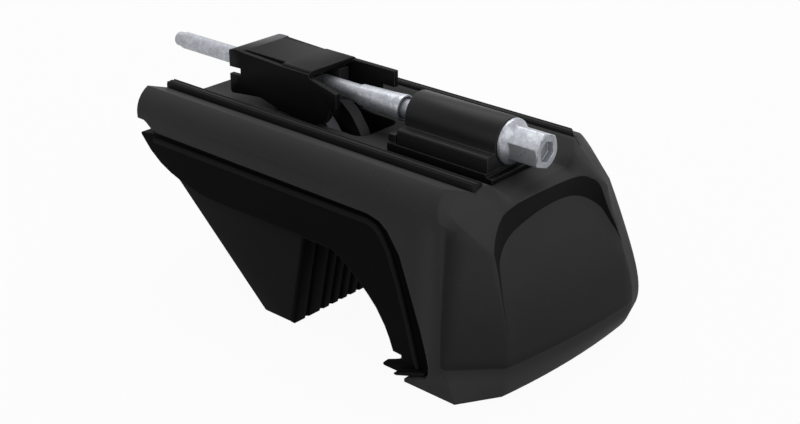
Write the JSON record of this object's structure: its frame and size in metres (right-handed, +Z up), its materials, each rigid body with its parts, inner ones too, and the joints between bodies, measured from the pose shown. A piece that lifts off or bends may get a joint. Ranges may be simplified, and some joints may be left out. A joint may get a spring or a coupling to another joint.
{
  "type": "roof bar foot",
  "caption": "Roof bar end foot with a screw-driven inner jaw that clamps a raised side rail against the rubber-lined outer leg; the bar rests on the ridged tray.",
  "frame": {"origin": "middle of the foot's footprint at the lowest point of the inner jaw", "axes": "+X from the bolt's tip towards its hex head, outboard from the roof; +Y across the foot; +Z up, towards the bar"},
  "size_m": [0.1754, 0.0811, 0.0749],
  "materials": {
    "housing_plastic": "fine moulded grain, black",
    "jaw_plastic": "smooth matt black",
    "boot_rubber": "matt black rubber",
    "strip_rubber": "satin black rubber, finely ridged",
    "seat_plastic": "satin black",
    "black_aluminium": "black anodised, satin",
    "zinc_steel": "mottled blue-white zinc plating",
    "black_steel": "semi-gloss black coating"
  },
  "bodies": {
    "foot": {"housing": "housing_plastic", "rubber_boot": "boot_rubber", "bar_strip_near": "strip_rubber", "bar_strip_far": "strip_rubber", "block_seat": "seat_plastic", "t_block": "black_aluminium"},
    "bolt": {"clamp_bolt": "zinc_steel", "bolt_collar": "zinc_steel"},
    "jaw_carriage": {"slide_bracket": "black_steel", "clamp_nut": "black_steel", "jaw_fork": "black_steel", "jaw_pin": "zinc_steel", "inner_jaw": "jaw_plastic", "jaw_facing": "boot_rubber"}
  },
  "joints": [
    {"name": "bolt_spin", "type": "hinge", "parent": "foot", "child": "bolt", "pos_m": [0, 0, 0.0673], "axis": [-1, 0, 0], "range_deg": [-4321, 3601]},
    {"name": "jaw_slide", "type": "slide", "parent": "foot", "child": "jaw_carriage", "axis": [1, 0, 0], "range_m": [-0.012, 0.01]}
  ],
  "couplings": [
    {"joint": "bolt_spin", "follows": "jaw_slide", "rad_per_m": 6283.2}
  ]
}
